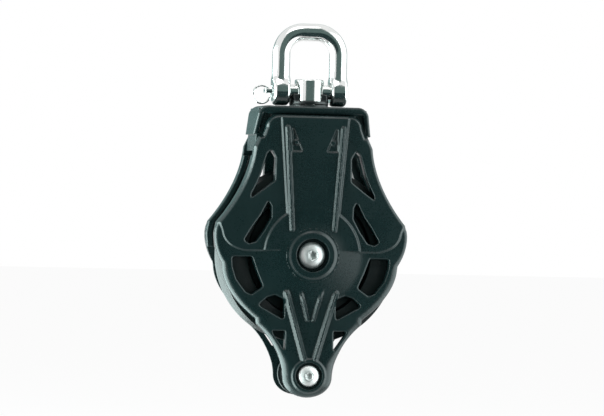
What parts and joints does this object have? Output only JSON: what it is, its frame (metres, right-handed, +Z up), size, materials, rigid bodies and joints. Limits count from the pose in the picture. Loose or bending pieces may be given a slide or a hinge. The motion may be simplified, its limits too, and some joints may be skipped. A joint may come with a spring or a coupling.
{
  "type": "swivel sailing block",
  "caption": "Swivelling ball-bearing sailing block with a bow shackle on top, moulded windowed cheeks, a grooved sheave and a becket below.",
  "frame": {"origin": "the point under the shackle's crown where the load hangs", "axes": "+Z up along the hanging load, +X across the block to the right, +Y from the front cheek to the rear cheek"},
  "size_m": [0.0698, 0.028, 0.1332],
  "materials": {
    "moulded_composite": "satin moulded fibre-filled composite",
    "polished_stainless": "polished",
    "sheave_black": "smooth turned acetal",
    "bearing_black": "smooth acetal",
    "bearing_white": "smooth acetal"
  },
  "bodies": {
    "shackle": {"shackle_bow": "polished_stainless", "shackle_pin": "polished_stainless"},
    "ring": {"split_ring": "polished_stainless"},
    "swivel": {"swivel_post": "polished_stainless", "swivel_collar": "bearing_black", "thrust_washer": "polished_stainless", "swivel_nut": "polished_stainless", "nut_lock_pin": "polished_stainless"},
    "block": {"head_yoke": "moulded_composite", "swivel_bush": "bearing_black", "head_pins": "polished_stainless", "front_cheek": "moulded_composite", "rear_cheek": "moulded_composite", "inner_race": "bearing_black", "front_ball_retainer": "bearing_black", "rear_ball_retainer": "bearing_black", "front_side_washer": "bearing_white", "rear_side_washer": "bearing_white", "axle_barrel": "polished_stainless", "centre_screw": "polished_stainless", "becket_barrel": "polished_stainless", "becket_screw": "polished_stainless"},
    "sheave": {"sheave": "sheave_black"},
    "balls": {"bearing_balls": "bearing_white"},
    "becket_roller": {"becket_roller": "bearing_black"}
  },
  "joints": [
    {"name": "shackle_tilt", "type": "hinge", "parent": "shackle", "child": "swivel", "pos_m": [0, 0, -0.0181], "axis": [1, 0, 0], "range_deg": [-90, 90]},
    {"name": "ring_swing", "type": "hinge", "parent": "shackle", "child": "ring", "pos_m": [-0.01464, 0, -0.0181], "axis": [0, 0, 1], "range_deg": [-75, 75]},
    {"name": "head_swivel", "type": "hinge", "parent": "swivel", "child": "block", "pos_m": [0, 0, -0.0181], "axis": [0, 0, 1], "continuous": true},
    {"name": "sheave_spin", "type": "hinge", "parent": "block", "child": "sheave", "pos_m": [0, 0, -0.0761], "axis": [0, 1, 0], "continuous": true},
    {"name": "ball_orbit", "type": "hinge", "parent": "block", "child": "balls", "pos_m": [0, 0, -0.0761], "axis": [0, 1, 0], "continuous": true},
    {"name": "becket_roller_spin", "type": "hinge", "parent": "block", "child": "becket_roller", "pos_m": [0, 0, -0.1189], "axis": [0, 1, 0], "continuous": true}
  ],
  "couplings": [
    {"joint": "ball_orbit", "follows": "sheave_spin", "ratio": 0.6}
  ]
}
